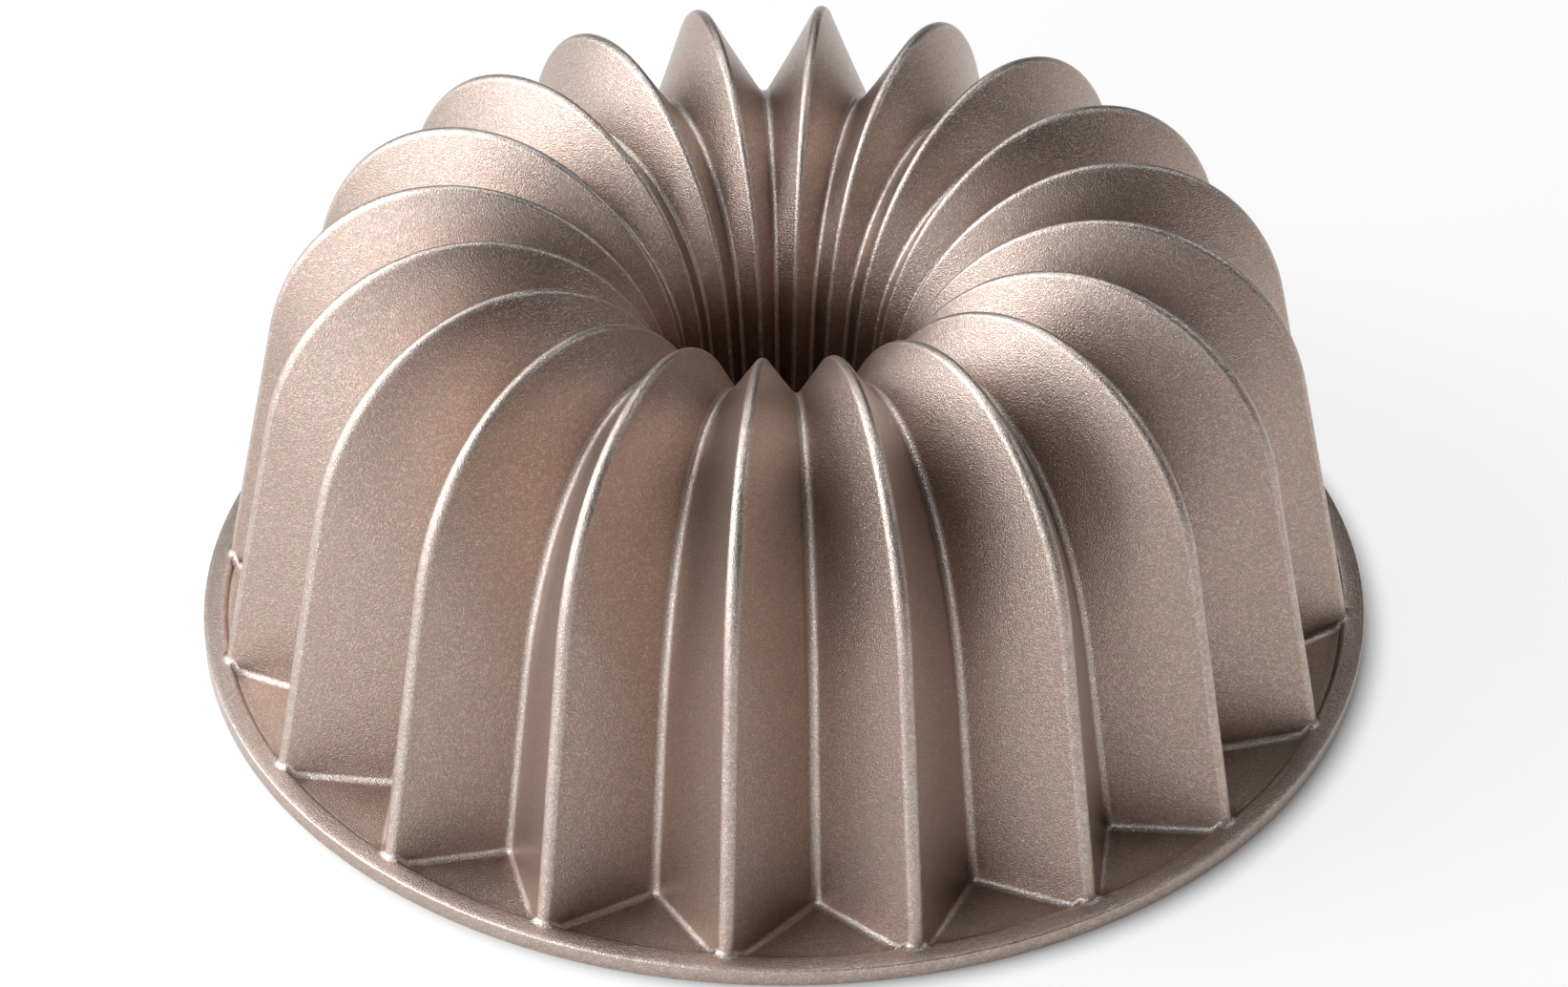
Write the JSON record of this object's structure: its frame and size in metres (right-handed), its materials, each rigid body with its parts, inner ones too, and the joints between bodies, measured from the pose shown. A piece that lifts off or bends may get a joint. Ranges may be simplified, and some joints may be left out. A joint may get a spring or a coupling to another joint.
{
  "type": "fluted tube pan",
  "caption": "Cast ring cake pan with sharp radial flutes that run up the wall, over the top and down a centre tube, upside down on its flat beaded rim.",
  "frame": {"origin": "on the pan's axis, in the plane of the rim's flat face that the pan rests on", "axes": "+Z along the axis, from the rim plane up to the crests, as the pan stands upside down; one crest of the flutes lies along -Y"},
  "size_m": [0.25, 0.25, 0.1021],
  "materials": {
    "coated_casting": "cast aluminium under a satin toffee-bronze metallic non-stick coat with fine grain"
  },
  "bodies": {
    "root": {"pan_casting": "coated_casting"}
  },
  "joints": []
}
